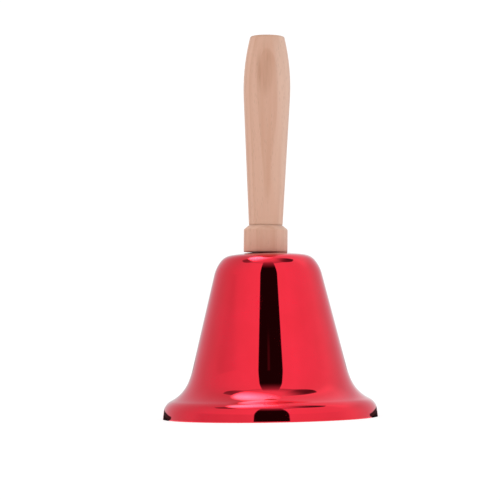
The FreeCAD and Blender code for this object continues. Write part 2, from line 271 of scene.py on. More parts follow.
inward = np.stack([np.sin(slope), np.cos(slope)], axis=-1) * WALL
inside = outside - inward
outer_wall = outside[outside[:, 1] > RIM_ROUND]
inner_wall = inside[inside[:, 1] > RIM_ROUND][::-2]
outer_centre = (radius_at(outside, RIM_ROUND) - RIM_ROUND, RIM_ROUND)
inner_centre = (radius_at(inside, RIM_ROUND) + RIM_ROUND, RIM_ROUND)
seat = np.stack([np.linspace(HOLE_RADIUS, SEAT_RADIUS, SEAT_STEPS + 1)[:-1],
                 np.full(SEAT_STEPS, SEAT_HEIGHT)], axis=-1)
under_seat = np.stack([np.linspace(inner_wall[-1, 0], HOLE_RADIUS, SEAT_STEPS + 1)[1:],
                       np.full(SEAT_STEPS, SEAT_HEIGHT - WALL)], axis=-1)
shell_outline = np.concatenate([
    seat, outer_wall, quarter(outer_centre, RIM_ROUND, 0, -90), quarter(inner_centre, RIM_ROUND, -90, -180),
    inner_wall, under_seat])
shell = grid_mesh("red_bell_shell", spin(shell_outline, SHELL_COLUMNS)[::-1], loop_rows=True)
is_inside = np.arange(len(shell_outline)) >= len(seat) + len(outer_wall) + ROUND_POINTS
paint_points(shell, "inside", np.repeat(is_inside[::-1], SHELL_COLUMNS))
paint_points(shell, "along", np.repeat(along_line(shell_outline)[::-1], SHELL_COLUMNS))
report(shell)

# %% [markdown]
# The handle.
#
# A square stick of beech is spun on a lathe and cut to a collar, a crease, a long taper and a belly
# that fills the hand. The outline runs upwards this time, and a point of the wood sits at most about
# two hundredths of a millimetre off the perfect circle: the stick has dried a little oval since it
# was turned, and the cutter left faint rings round the collar. It is screwed on by hand, so it stands
# nearly a degree and a half off true and a little to one side, with a thin wedge of daylight under
# its foot.

# %% The handle's outline
COLLAR, COLLAR_TOP = 6.65 * MM, 6.85 * MM
BEVEL, BEVEL_TOP = 5.25 * MM, 8.0 * MM
CREASE, CREASE_TOP = 4.95 * MM, 8.15 * MM
NECK, NECK_TOP = 5.12 * MM, 8.4 * MM
BELLY, BELLY_TOP, BELLY_CURVE = 7.11 * MM, 50.0 * MM, 65.2 * MM
PILOT, PILOT_DEPTH = 0.9 * MM, 17.0 * MM


def rounded(corners, step=0.3 * MM):
    """A run of straight sides through corners (radius, height, round), each corner cut by an arc.

    A round of size q between sides that meet at an angle w starts q / tan(w / 2) from the corner. Its
    points are the quadratic curve through the same two ends, which for a small round is an arc.
    """
    spots = np.array([corner[:2] for corner in corners])
    heading = np.diff(spots, axis=0)
    length = np.linalg.norm(heading, axis=1)
    heading = heading / length[:, None]
    path = [spots[:1]]
    for i, (_, _, size) in enumerate(corners[1:-1], start=1):
        turn = math.acos(np.clip(heading[i - 1] @ heading[i], -1, 1))
        cut = size * math.tan(turn / 2)
        ends = spots[i] - heading[i - 1] * cut, spots[i] + heading[i] * cut
        blend = np.linspace(0, 1, 7)[:, None]
        arc = (1 - blend) ** 2 * ends[0] + 2 * blend * (1 - blend) * spots[i] + blend ** 2 * ends[1]
        run = np.linalg.norm(ends[0] - path[-1][-1])
        between = np.linspace(0, 1, max(2, math.ceil(run / step) + 1))[1:-1, None]
        path += [path[-1][-1] + between * (ends[0] - path[-1][-1]), arc]
    run = np.linalg.norm(spots[-1] - path[-1][-1])
    between = np.linspace(0, 1, max(2, math.ceil(run / step) + 1))[1:, None]
    path.append(path[-1][-1] + between * (spots[-1] - path[-1][-1]))
    return np.concatenate(path)


def belly_outline(step=0.3 * MM):
    """The belly's arc, from where the straight taper touches it up to the top edge.

    The taper leaves the neck and touches a circle of radius R about a centre on the far side of the
    axis, so the angle at the centre between neck and touch is the one whose cosine is R over their
    distance.
    """
    centre = np.array([BELLY - BELLY_CURVE, BELLY_TOP])
    towards = np.array([NECK, NECK_TOP]) - centre
    low = math.atan2(towards[1], towards[0]) + math.acos(BELLY_CURVE / np.hypot(*towards))
    high = math.asin((HANDLE_LENGTH - BELLY_TOP) / BELLY_CURVE)
    angles = np.linspace(low, high, math.ceil((high - low) * BELLY_CURVE / step))
    return centre + BELLY_CURVE * np.stack([np.cos(angles), np.sin(angles)], axis=-1)


belly = belly_outline()
TOP_ROUND, TOP_RADIUS = 0.6 * MM, belly[-1, 0]
FOOT_ROUND, SHOULDER_ROUND, SHARP = 0.25 * MM, 0.7 * MM, 0.05 * MM
SHORT_OF_TOP, TOP_MIDDLE, LEAST_GAP = 4, 0.2 * MM, 0.1 * MM
BORE_POINTS, BORE_MOUTH = 12, 0.3 * MM
collar = rounded([(PILOT, 0, 0), (COLLAR, 0, FOOT_ROUND), (COLLAR, COLLAR_TOP, SHOULDER_ROUND),
                  (BEVEL, BEVEL_TOP, 2 * SHARP), (CREASE, CREASE_TOP, SHARP), (NECK, NECK_TOP, 2 * SHARP),
                  (belly[0, 0], belly[0, 1], 0)])
crown = rounded([tuple(belly[-SHORT_OF_TOP]) + (0,), (TOP_RADIUS, HANDLE_LENGTH, TOP_ROUND),
                 (TOP_MIDDLE, HANDLE_LENGTH, 0)])
bore = np.stack([np.full(BORE_POINTS, PILOT), np.linspace(PILOT_DEPTH, BORE_MOUTH, BORE_POINTS)], axis=-1)
below_round = belly[:, 1] < crown[0, 1] - LEAST_GAP
handle_outline = np.concatenate([bore, collar, belly[1:][below_round[1:]], crown])

# %% The handle's mesh
HANDLE_COLUMNS = 168
OVAL, THREE_SIDED = 0.0022, 0.0008
CUTTER_DEPTH, CUTTER_PITCH = 0.004 * MM, 0.55 * MM
CUTTER_MIDDLE, CUTTER_REACH = 4 * MM, 2.2 * MM
# The crease's width sets how wide the painted shade in the groove is.
CREASE_SHADE_WIDTH, LEFT_ROUND = 0.28 * MM, 2 * MM
wood = spin(handle_outline, HANDLE_COLUMNS)
turn = np.arange(HANDLE_COLUMNS) * TURN / HANDLE_COLUMNS
height = handle_outline[:, 1:]
oval = 1 + OVAL * np.cos(2 * turn + 0.6 + 9 * height) + THREE_SIDED * np.cos(3 * turn + 140 * height)
near_collar = np.exp(-((height - CUTTER_MIDDLE) / CUTTER_REACH) ** 2)
rings = CUTTER_DEPTH * np.sin(TURN * height / CUTTER_PITCH) * near_collar
grown = oval + rings / np.maximum(handle_outline[:, :1], MM)
touched = (handle_outline[:, 0] > LEFT_ROUND)[:, None]
wood[..., :2] *= np.where(touched, grown, 1)[..., None]


def screwed_on(points, lean=math.radians(1.42), aside=-0.65 * MM):
    """Tip points about the right edge of the seat: x and z turn by the lean, then slide aside.

    The pivot is at x = the seat's radius, z = 0, so the left of the foot lifts clear of the crown.
    """
    x, y, z = points[..., 0] - SEAT_RADIUS, points[..., 1], points[..., 2]
    return np.stack([x * math.cos(lean) + z * math.sin(lean) + SEAT_RADIUS + aside, y,
                     z * math.cos(lean) - x * math.sin(lean) + handle_low.z], axis=-1)


ends = screwed_on(np.array([(0, 0, PILOT_DEPTH), (0, 0, HANDLE_LENGTH)]))
handle = grid_mesh("beech_handle", screwed_on(wood), poles=ends)
# A band at the crease's height, where the finish paints shade into the groove.
crease = np.exp(-((handle_outline[:, 1] - CREASE_TOP) / CREASE_SHADE_WIDTH) ** 2)
paint_points(handle, "crease", np.repeat(crease, HANDLE_COLUMNS))
report(handle)

# %% [markdown]
# Wire.
#
# The screw eye, the ring and the clapper's rod are all round wire bent in one plane, so they share
# one helper: a centre line in a plane, and a ring of points carried along it. The radius may change
# along the wire and round it, and that is enough for a rolled thread, a point or a flattened head.

# %% Wire helpers
def sweep(name, line, radius, across, columns=32):
    """A round wire along a plane line.

    line is (u, v) points, with v up and u along the direction across; radius is one number per
    point, or rows by columns. At each point the ring is spanned by the line's own normal in the
    plane and by the direction square to the plane.
    """
    heading = np.gradient(line, axis=0)
    heading /= np.linalg.norm(heading, axis=1, keepdims=True)
    across = np.array(across, float)
    up = np.array([0.0, 0.0, 1.0])
    beside = np.cross(up, across)
    flat = -heading[:, 1:] * across + heading[:, :1] * up
    centre = line[:, :1] * across + line[:, 1:] * up
    turn = np.arange(columns)[:, None] * TURN / columns
    radius = np.broadcast_to(np.reshape(radius, (len(line), -1)), (len(line), columns))[..., None]
    points = centre[:, None] + radius * (np.cos(turn) * flat[:, None] + np.sin(turn) * beside)
    return grid_mesh(name, points[:, ::-1], poles=[centre[0], centre[-1]])


def arc_line(centre, radius, first, last, step=0.12 * MM):
    """Points along an arc from one angle to another, in degrees from straight across."""
    count = max(6, math.ceil(abs(math.radians(last - first)) * radius / step))
    angles = np.radians(np.linspace(first, last, count))
    return np.stack([centre[0] + radius * np.cos(angles), centre[1] + radius * np.sin(angles)], axis=-1)


def straight_line(start, end, step=0.12 * MM):
    """Evenly spaced points from start up to, but not including, end."""
    count = max(3, math.ceil(math.dist(start, end) / step))
    return np.array(start) + np.linspace(0, 1, count, endpoint=False)[:, None] * (np.array(end) - start)


def eye_line(centre, loop, bend, start, gap_angle):
    """A wire that comes down the axis, turns aside round a small bend and closes round into an eye.

    Where the bend of radius b meets the loop of radius R, both head the same way, so the cosine of
    the bend's turn is b over R + b. The wire stops gap_angle short of meeting its own neck. The eye
    lies below start; for one above it, the caller turns the heights over.
    """
    turned = math.degrees(math.acos(bend / (loop + bend)))
    knee = centre + (loop + bend) * math.sin(math.radians(turned))
    return np.concatenate([
        straight_line((0, start), (0, knee)),
        arc_line((-bend, knee), bend, 0, -turned)[:-1],
        arc_line((0, centre), loop, 180 - turned, 360 + gap_angle)])


def thread(along, columns, start, end, core, crest, pitch):
    """A wood screw's radius, rows by columns: a ridge that climbs by one pitch in each turn.

    The ridge is where along / pitch + turn is a whole number, and it falls off in a straight line to
    the core. It fades in over one pitch at the start and out over one at the end.
    """
    top, flank = 1.15, 3.4
    phase = along[:, None] / pitch + np.arange(columns) / columns
    ridge = np.clip(top - np.abs((phase % 1) - 0.5) * flank, 0, 1)
    fade = np.clip((along - start) / pitch, 0, 1) * np.clip((end - along) / pitch, 0, 1)
    return core + (crest - core) * ridge * fade[:, None]


# %% [markdown]
# The screw eye.
#
# One screw holds the whole bell together: it runs up through the washer and the crown into the wood,
# and its eye carries the clapper. It is made from wire whose end is bent round into an eye that does
# not quite close, and whose other end is rolled into a coarse thread with a point.

# %% Make the screw eye
EYE_WIRE = eye_high.y
EYE_LOOP = eye_high.x - EYE_WIRE
EYE_CENTRE = eye_low.z + EYE_LOOP + EYE_WIRE
SCREW_TIP = eye_high.z
THREAD_CORE, THREAD_PITCH, POINT = 0.8 * MM, 1.1 * MM, 1.8 * MM
PLAIN_SHANK, WIRE_BEND, EYE_GAP = 4.2 * MM, 1.2 * MM, 72
BLUNT_TIP, CUT_ROUND, CUT_FACE = 0.04, 0.25 * MM, 0.72

screw_line = eye_line(EYE_CENTRE, EYE_LOOP, WIRE_BEND, SCREW_TIP, EYE_GAP)
screw_along = along_line(screw_line)
THREAD_END = SCREW_TIP - EYE_CENTRE - EYE_LOOP - PLAIN_SHANK
SCREW_COLUMNS = 36
screw_radius = np.full((len(screw_line), SCREW_COLUMNS), EYE_WIRE)
threaded = screw_along < THREAD_END
screw_radius[threaded] = thread(screw_along, SCREW_COLUMNS, POINT, THREAD_END, THREAD_CORE, EYE_WIRE,
                                THREAD_PITCH)[threaded]
screw_radius *= np.clip(screw_along / POINT, BLUNT_TIP, 1)[:, None]
cut_end = screw_along[-1] - screw_along
screw_radius *= np.sqrt(np.clip(cut_end / CUT_ROUND, 0, 1) * (1 - CUT_FACE) + CUT_FACE)[:, None]
screw_eye = report(sweep("zinc_screw_eye", screw_line, screw_radius, (1, 0, 0), SCREW_COLUMNS))

# %% [markdown]
# Ring, rod, ball and washer.
#
# The ring is wire bent shut, with a hairline where its ends meet. The rod has an eye like the
# screw's, turned over, and its foot is hammered flat under the ball so that the ball stays on. The
# ball is drilled and tumbled, so it has a chamfer at each end of its hole and a few soft dents. The
# washer was punched: one edge is rolled over, the other sharp.

# %% Make the ring and the rod
RING_WIRE = ring_high.x
RING_LOOP = (ring_high.z - ring_low.z) / 2 - RING_WIRE
RING_CENTRE = (ring_high.z + ring_low.z) / 2
SPLIT_AT, SPLIT = 24, math.degrees(0.05 * MM / RING_LOOP)
ring_line = arc_line((0, RING_CENTRE), RING_LOOP, SPLIT_AT + SPLIT, SPLIT_AT + 360 - SPLIT)
ring = report(sweep("zinc_hanger_ring", ring_line, np.full(len(ring_line), RING_WIRE), (0, 1, 0)))

ROD_LOOP_OUTSIDE = rod_high.x
ROD_WIRE = 0.8 * MM
ROD_LOOP = ROD_LOOP_OUTSIDE - ROD_WIRE
ROD_CENTRE = rod_high.z - ROD_LOOP_OUTSIDE
ROD_GAP = 66
rod_line = eye_line(-ROD_CENTRE, ROD_LOOP, WIRE_BEND, -rod_low.z, ROD_GAP) * (1, -1)
rod_along = along_line(rod_line)
HEAD_RADIUS, HEAD_THICK, HEAD_DOME = 1.5 * MM, 0.8 * MM, 0.45 * MM
dome = HEAD_RADIUS * np.sqrt(np.clip(1 - (1 - rod_along / HEAD_DOME) ** 2, 0.02, 1))
in_head = rod_along < HEAD_THICK
rod_radius = np.where(in_head, np.where(rod_along < HEAD_DOME, dome, HEAD_RADIUS), ROD_WIRE)
rod = report(sweep("zinc_clapper_rod", rod_line, rod_radius, (1, 0, 0)))

# %% Make the ball and the washer
BALL_RADIUS = ball_high.x
BALL_CENTRE = (ball_low.z + ball_high.z) / 2
FLAT_HEIGHT = ball_high.z - BALL_CENTRE
flat_angle = math.degrees(math.asin(FLAT_HEIGHT / BALL_RADIUS))
CHAMFER, BALL_ROWS, BALL_COLUMNS = 0.25 * MM, 64, 96
side = quarter((0, 0), BALL_RADIUS, -flat_angle, flat_angle, BALL_ROWS)
top_of_hole = rounded([tuple(side[-1]) + (0,), (ROD_WIRE + CHAMFER, FLAT_HEIGHT, SHARP),
                       (ROD_WIRE, FLAT_HEIGHT - CHAMFER, SHARP), (ROD_WIRE, 0, 0)])
bottom_of_hole = (top_of_hole * (1, -1))[::-1]
ball_outline = np.concatenate([side, top_of_hole[1:], bottom_of_hole[1:-1]])
ball_points = spin(ball_outline, BALL_COLUMNS)

DENTS, DENT_DEPTH, SKIN = 26, 0.05 * MM, 0.01 * MM
rng = np.random.default_rng(11)
dents = rng.normal(size=(DENTS, 3))
dents /= np.linalg.norm(dents, axis=1, keepdims=True)
reach = rng.uniform(0.06, 0.16, DENTS)
unit = ball_points / np.maximum(np.linalg.norm(ball_points, axis=-1, keepdims=True), 1e-9)
apart = np.arccos(np.clip(np.einsum("rci,di->rcd", unit, dents), -1, 1))
depth = (DENT_DEPTH * np.exp(-(apart / reach) ** 2)).sum(axis=-1)
on_side = (np.linalg.norm(ball_points, axis=-1) > BALL_RADIUS - SKIN)[..., None]
ball_points -= np.where(on_side, unit * depth[..., None], 0)
ball_points[..., 2] += BALL_CENTRE
ball = report(grid_mesh("steel_clapper_ball", ball_points, loop_rows=True))

WASHER_RADIUS, WASHER_MIDDLE, WASHER_COLUMNS = washer_high.x, (washer_low.z + washer_high.z) / 2, 96
CRISP, ROLLED, PUNCHED = 0.06 * MM, 0.3 * MM, 0.12 * MM
washer_outline = rounded([
    (HOLE_RADIUS, WASHER_MIDDLE, 0), (HOLE_RADIUS, washer_low.z, CRISP),
    (WASHER_RADIUS, washer_low.z, ROLLED), (WASHER_RADIUS, washer_high.z, CRISP),
    (HOLE_RADIUS, washer_high.z, PUNCHED), (HOLE_RADIUS, WASHER_MIDDLE, 0)], step=0.2 * MM)
washer_points = spin(washer_outline[:-1], WASHER_COLUMNS)
washer = report(grid_mesh("zinc_crown_washer", washer_points, loop_rows=True))

# %% [markdown]
# Who rides on what.
#
# The frame knows three moving bodies: the bell with everything screwed to it, the ring that rocks on
# the eye, and the clapper that swings on the ring. Each new piece takes the place of one node of the
# frame and moves with that node's body.

# %% Put each piece in its place
fittings = [
    (shell, "bell_shell", "bell", "red_plate"), (handle, "handle", "bell", "beech"),
    (washer, "crown_washer", "bell", "zinc_steel"), (screw_eye, "screw_eye", "bell", "zinc_steel"),
    (ring, "hanger_ring", "ring", "zinc_steel"), (rod, "clapper_rod", "clapper", "zinc_steel"),
    (ball, "clapper_ball", "clapper", "ball_steel")]
for piece, node, body, slot in fittings:
    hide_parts(node)
    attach(piece, body)
    print(f"{piece.name} stands for {node} and rides on {body}")

# %% [markdown]
# Finishes as sums.
#
# A finish is a pattern of how colour, roughness and height change over a surface, and a pattern is
# mostly arithmetic: this streak plus that speck, times the wear. So a node's output is wrapped in a
# small class on which plus, minus and times lay the Math nodes, and a finish reads like a sum.

# %% Finish helpers
MIX_FACTOR, MIX_A, MIX_B, MIX_RESULT = 0, 6, 7, 2


class Tone:
    """What one node gives out. Arithmetic on it lays Math nodes in the same finish."""

    def __init__(self, finish, socket):
        self.finish, self.socket = finish, socket

    def math(self, operation, *others):
        return self.finish.node("Math", {"operation": operation}, dict(enumerate((self,) + others)))

    def __add__(self, other):
        return self.math("ADD", other)

    def __mul__(self, other):
        return self.math("MULTIPLY", other)

    def __sub__(self, other):
        return self.math("SUBTRACT", other)

    def __rsub__(self, other):
        return self.math("MULTIPLY_ADD", -1.0, other)

    def __truediv__(self, other):
        return self.math("DIVIDE", other)

    def __pow__(self, other):
        return self.math("POWER", other)

    __radd__, __rmul__ = __add__, __mul__

    def rise(self, low, high):
        """0 up to low, 1 from high on, and a smooth climb between; it falls if high is the lower one."""
        return self.finish.node("MapRange", {"interpolation_type": "SMOOTHSTEP"},
                                {"Value": self, "From Min": low, "From Max": high})


class Finish:
    """The nodes of one material, or of the studio's light, while they are laid."""

    def __init__(self, tree):
        self.tree = tree
        tree.nodes.clear()

    def node(self, kind, settings, sockets, output=0):
        """Lay one node: its settings first, then the number or link of each socket. Gives one output."""
        laid = self.tree.nodes.new("ShaderNode" + kind)
        for name, value in settings.items():
            if name == "stops":
                lay_stops(laid.color_ramp, value)
            else:
                setattr(laid, name, value)
        for name, value in sockets.items():
            if isinstance(value, Tone):
                self.tree.links.new(value.socket, laid.inputs[name])
            else:
                laid.inputs[name].default_value = value
        return Tone(self, laid.outputs[output]) if laid.outputs else None

    def stretch(self, vector, scale):
        """A vector whose three parts are each multiplied by their own scale."""
        return self.node("VectorMath", {"operation": "MULTIPLY"}, {0: vector, 1: scale})

    def noise(self, vector, detail=2.0, roughness=0.5, warp=0.0):
        """Soft random tones about 0.5, one lump to each unit of the vector."""
        return self.node("TexNoise", {}, {"Vector": vector, "Scale": 1.0, "Detail": detail,
                                          "Roughness": roughness, "Distortion": warp})

    def blend(self, factor, first, second):
        """A colour between two others: the first where the factor is 0, the second where it is 1."""
        return self.node("Mix", {"data_type": "RGBA"}, {MIX_FACTOR: factor, MIX_A: first, MIX_B: second},
                         MIX_RESULT)

    def painted(self, name):
        """A number stored on the piece's points."""
        return self.node("Attribute", {"attribute_name": name}, {}, "Fac")


def lay_stops(ramp, stops):
    """Set a ramp's stops, each a place from 0 to 1 with a grey tone or a colour."""
    for _ in range(len(stops) - 2):
        ramp.elements.new(0.5)
    for element, (place, tone) in zip(ramp.elements, stops):
        element.position = place
        element.color = tone if isinstance(tone, tuple) else (tone, tone, tone, 1)


def new_finish(name):
    """A material with no nodes yet, and the finish that lays them."""
    material = bpy.data.materials.new(name)
    material.use_nodes = True
    return material, Finish(material.node_tree)


def seal(material, finish, sockets, height=None):
    """Close a finish with its shader: numbers and tones by socket, and a height in metres for bump."""
    if height is not None:
        bump = finish.node("Bump", {}, {"Strength": 1.0, "Distance": 1.0, "Height": height})
        sockets = sockets | {"Normal": bump}
    shader = finish.node("BsdfPrincipled", {}, sockets)
    finish.node("OutputMaterial", {}, {"Surface": shader})
    print(f"{material.name}: {len(finish.tree.nodes)} nodes")
    return material

# %% [markdown]
# Red lacquer over plate.
#
# The mirror is bright plate, and the red is a clear dyed lacquer on top. So the metal's own colour
# here is the dye's: nearly all red comes back, and almost no green or blue. The lacquer's smooth top
# reflects a little white of its own, more towards the edges of the shape, and that is the shader's
# coat. The rest is what makes it a made thing: a faint orange peel, polishing lines round the
# shell that never quite vanish, hair scratches, a few specks, thicker lacquer at the rim, and a
# plain, duller plate inside, where only some red has drifted in over the edge.

# %% Finish of the bell
def red_lacquer():
    """Dyed lacquer on plated steel outside, plain plate inside, bare steel on the cut edge."""
    material, finish = new_finish("red_lacquered_plate")
    place = finish.node("TexCoord", {}, {}, "Object")
    height = finish.node("SeparateXYZ", {}, {"Vector": place}, "Z")
    inside, along = finish.painted("inside"), finish.painted("along")

    drift = finish.noise(finish.stretch(place, (120, 120, 120)), detail=3)
    speck = finish.node("TexVoronoi", {}, {"Vector": place, "Scale": 900.0})
    specks = speck.rise(0.09, 0.03) * drift.rise(0.52, 0.60)
    lines = finish.noise(finish.node("CombineXYZ", {}, {"X": along * 9000.0, "Y": drift * 2.0}), detail=2)
    hair = finish.noise(finish.stretch(place, (90, 90, 1700)), detail=1, warp=1.2)
    hairs = (hair - 0.5).math("ABSOLUTE").rise(0.012, 0.003) * drift.rise(0.55, 0.68)
    peel = finish.noise(finish.stretch(place, (260, 260, 260)), detail=1)
    ripple = finish.noise(finish.stretch(place, (55, 55, 18)), detail=1)

    cut_edge = height.rise(0.10 * MM, 0.03 * MM)
    pooled = height.rise(1.4 * MM, 0.2 * MM) * (1 - inside)
    overspray = inside * (height + (drift - 0.5) * (6 * MM)).rise(9 * MM, 1 * MM)
    red = finish.blend(drift.rise(0.3, 0.7), (0.890, 0.0010, 0.0265, 1), (0.925, 0.0025, 0.0320, 1))
    red = finish.blend(pooled * 0.35, red, (0.800, 0.0015, 0.0200, 1))
    red = finish.blend(specks * 0.7, red, (0.45, 0.02, 0.03, 1))
    plate = finish.blend(lines, (0.58, 0.56, 0.53, 1), (0.70, 0.69, 0.66, 1))
    dusted = finish.blend(overspray * 0.75, plate, (0.80, 0.06, 0.08, 1))
    colour = finish.blend(inside.rise(0.4, 0.6), red, dusted)
    colour = finish.blend(cut_edge * 0.6, colour, (0.62, 0.50, 0.47, 1))

    gloss = 0.028 + drift * 0.016 + lines.rise(0.6, 0.9) * 0.02 + hairs * 0.10 + specks * 0.25
    dull = 0.22 + lines * 0.12 + overspray * 0.08
    roughness = gloss * (1 - inside) + dull * inside + cut_edge * 0.25
    relief = (peel * 0.7 + ripple * 3.0) * 1e-6 + hairs * -0.5e-6 + specks * 3e-6
    return seal(material, finish, {
        "Base Color": colour, "Metallic": 1.0, "Roughness": roughness, "Coat Weight": 1 - inside,
        "Coat Roughness": 0.03, "Coat IOR": 1.40, "Specular Tint": (1.0, 0.55, 0.68, 1)}, relief)


lacquer = red_lacquer()
shell.data.materials.append(lacquer)

# %% [markdown]
# Beech.
#
# Beech is pale pinkish brown with a fine, even grain. Its growth rings are close to straight lines
# where they are cut along, and they open into a pointed arch where a turned belly cuts through them
# at a slant. So the rings are worked out in the whole block of wood, as distance from a heart that
# lies outside the handle and leans a little, and the turned surface cuts them as the lathe does. The
# short dark dashes are the rays of the wood, seen from the end on this side and as wide flakes on
# the others. The handle is only sanded, so it is matt, and its end grain is darker. The right side is
# painted paler, a painted light where more light falls, and the groove and the foot are painted
# darker, a painted shade.

# %% Finish of the handle
FLAME_HEIGHT = handle_high.z - 10.5 * MM


def beech():
    """Rings about a leaning heart, rays, pores, sanding marks, painted light on the right and painted shade
    in the crease and at the foot.
    """
    material, finish = new_finish("sanded_beech")
    place = finish.node("TexCoord", {}, {}, "Object")
    height = finish.node("SeparateXYZ", {}, {"Vector": place}, "Z")
    crease = finish.painted("crease")

    sway = finish.noise(finish.stretch(place, (60, 60, 22)), detail=2)
    from_heart = finish.node("Mapping", {}, {"Vector": place, "Location": (-0.0015, 0.030, 0),
                                             "Rotation": (0.012, 0.020, 0), "Scale": (1, 1, 0)})
    distance = finish.node("VectorMath", {"operation": "LENGTH"}, {0: from_heart}, "Value")
    ring = (distance + sway * (2.2 * MM)) / (2.3 * MM)
    ring = ring.math("FRACT")
    late = ring.rise(0.25, 0.85) * ring.rise(1.0, 0.90)

    fibre = finish.noise(finish.stretch(place, (2600, 2600, 130)), detail=2)
    streak = finish.noise(finish.stretch(place, (700, 700, 24)), detail=3)
    patch = finish.noise(finish.stretch(place, (150, 150, 35)), detail=2)
    ray = finish.node("TexVoronoi", {}, {"Vector": finish.stretch(place, (3000, 1500, 420)), "Scale": 1.0,
                                         "Randomness": 1.0})
    rays = ray.rise(0.34, 0.16) * streak.rise(0.40, 0.62)
    pore = finish.noise(finish.stretch(place, (9000, 9000, 700)), detail=1)
    pores = pore.rise(0.66, 0.78)

    top = height.rise(handle_high.z - 0.7 * MM, handle_high.z - 0.1 * MM)
    foot = height.rise(handle_low.z + 1.2 * MM, handle_low.z + 0.1 * MM)
    across = finish.node("SeparateXYZ", {}, {"Vector": place}, "X")
    # Painted light: the right side of the handle, from x = 1.5 mm on, is painted paler and pinker, where
    # more light falls.
    lit_side_paint = (across + (streak - 0.5) * (3 * MM)).rise(1.5 * MM, 6.0 * MM)
    colour = finish.blend(late * 0.60, (0.785, 0.456, 0.328, 1), (0.680, 0.350, 0.230, 1))
    colour = finish.blend(streak.rise(0.3, 0.75) * 0.35, colour, (0.820, 0.510, 0.380, 1))
    colour = finish.blend(patch.rise(0.45, 0.8) * 0.25, colour, (0.740, 0.390, 0.280, 1))
    colour = finish.blend(lit_side_paint * 0.55, colour, (0.850, 0.590, 0.470, 1))
    beside_heart, above_heart = across / (2.6 * MM), (height - FLAME_HEIGHT) / (8.0 * MM)
    flame = (beside_heart ** 2.0 + above_heart ** 2.0).rise(1.5, 0.2)
    colour = finish.blend(flame * streak.rise(0.25, 0.6) * 0.60, colour, (0.560, 0.270, 0.165, 1))
    colour = finish.blend(rays * 0.30, colour, (0.440, 0.235, 0.160, 1))
    colour = finish.blend(pores * 0.20, colour, (0.430, 0.240, 0.160, 1))
    colour = finish.blend(fibre.rise(0.2, 0.8) * 0.12, colour, (0.760, 0.520, 0.390, 1))
    colour = finish.blend(top * 0.30, colour, (0.400, 0.230, 0.150, 1))
    # Painted shade: the crease and the foot, where the handle meets the bell, are painted darker.
    colour = finish.blend(crease * 0.42 + foot * 0.25, colour, (0.330, 0.190, 0.130, 1))
    roughness = 0.62 + fibre * 0.12 - late * 0.06 + top * 0.1
    relief = (fibre * 6 + streak * 10 - pores * 14 - rays * 6) * 1e-6
    return seal(material, finish, {
        "Base Color": colour, "Roughness": roughness, "Specular IOR Level": 0.45,
        "Sheen Weight": 0.30, "Sheen Roughness": 0.40}, relief)


handle.data.materials.append(beech())

# %% [markdown]
# Plated wire and the steel ball.
#
# The screw, ring, rod and washer are bright zinc: grey, with a cold shine, clouds of yellow and blue
# where the bath left its passive film, and dull rub marks scattered over them. The ball was tumbled
# in a drum with hundreds of others, so it is all over fine scuffs in every direction, greyer than the
# zinc and browner in small pits.

# %% Finishes of the metal parts
def zinc():
    """Bright zinc on drawn wire: a clouded passive film, fine drawing lines and rub marks."""
    material, finish = new_finish("bright_zinc")
    place = finish.node("TexCoord", {}, {}, "Object")
    cloud = finish.noise(finish.stretch(place, (420, 420, 420)), detail=3)
    hue = finish.noise(finish.stretch(place, (230, 230, 310)), detail=2, warp=0.6)
    drawn = finish.noise(finish.stretch(place, (9000, 9000, 900)), detail=2)
    rubbed = finish.noise(finish.stretch(place, (1400, 1400, 1400)), detail=2).rise(0.58, 0.72)
    colour = finish.blend(hue.rise(0.35, 0.65), (0.60, 0.62, 0.64, 1), (0.68, 0.65, 0.57, 1))
    colour = finish.blend(cloud.rise(0.5, 0.8) * 0.5, colour, (0.46, 0.46, 0.45, 1))
    colour = finish.blend(rubbed * 0.4, colour, (0.74, 0.73, 0.70, 1))
    roughness = 0.20 + cloud * 0.16 + drawn * 0.08 + rubbed * 0.10
    relief = (drawn * 1.2 + cloud * 2.0) * 1e-6
    return seal(material, finish, {"Base Color": colour, "Metallic": 1.0, "Roughness": roughness}, relief)


def tumbled_steel():
    """Plain steel from the tumbling drum: scuffs in every direction and brown in the hollows."""
    material, finish = new_finish("tumbled_steel")
    place = finish.node("TexCoord", {}, {}, "Object")
    cloud = finish.noise(finish.stretch(place, (260, 260, 260)), detail=4)
    scuff_one = finish.noise(finish.stretch(place, (700, 4200, 900)), detail=2, warp=0.8)
    scuff_two = finish.noise(finish.stretch(place, (4600, 800, 1100)), detail=2, warp=0.8)
    scuffs = scuff_one.rise(0.58, 0.66) + scuff_two.rise(0.60, 0.67)
    pit = finish.node("TexVoronoi", {}, {"Vector": place, "Scale": 1500.0})
    pits = pit.rise(0.20, 0.08) * cloud.rise(0.45, 0.6)
    colour = finish.blend(cloud.rise(0.35, 0.7), (0.56, 0.55, 0.53, 1), (0.46, 0.44, 0.41, 1))
    colour = finish.blend(pits * 0.7, colour, (0.20, 0.15, 0.11, 1))
    colour = finish.blend(scuffs.math("MINIMUM", 1.0) * 0.25, colour, (0.68, 0.67, 0.65, 1))
    roughness = 0.24 + cloud * 0.12 + scuffs * 0.07 + pits * 0.25
    relief = (scuffs * -1.2 + cloud * 3.0 - pits * 6.0) * 1e-6
    return seal(material, finish, {"Base Color": colour, "Metallic": 1.0, "Roughness": roughness}, relief)


bright_zinc = zinc()
for piece in (washer, screw_eye, ring, rod):
    piece.data.materials.append(bright_zinc)
ball.data.materials.append(tumbled_steel())

# %% [markdown]
# The studio.
#
# A mirror shows its room, so the room is half the work. It is a light tent: white paper walls all
# round, a little darker behind, and a bright lamp panel overhead with a darker gap under its edge.
# Low down at the back, one corner on each side is dark. The wall has one tall opening in front, for
# the lens, and that opening is the black stripe down the bell. The room is drawn as a sky, in azimuth
# and elevation seen from the bell: azimuth is 0 towards the lens and grows to the right. A lens that
# looks at the sky straight on sees plain white paper.

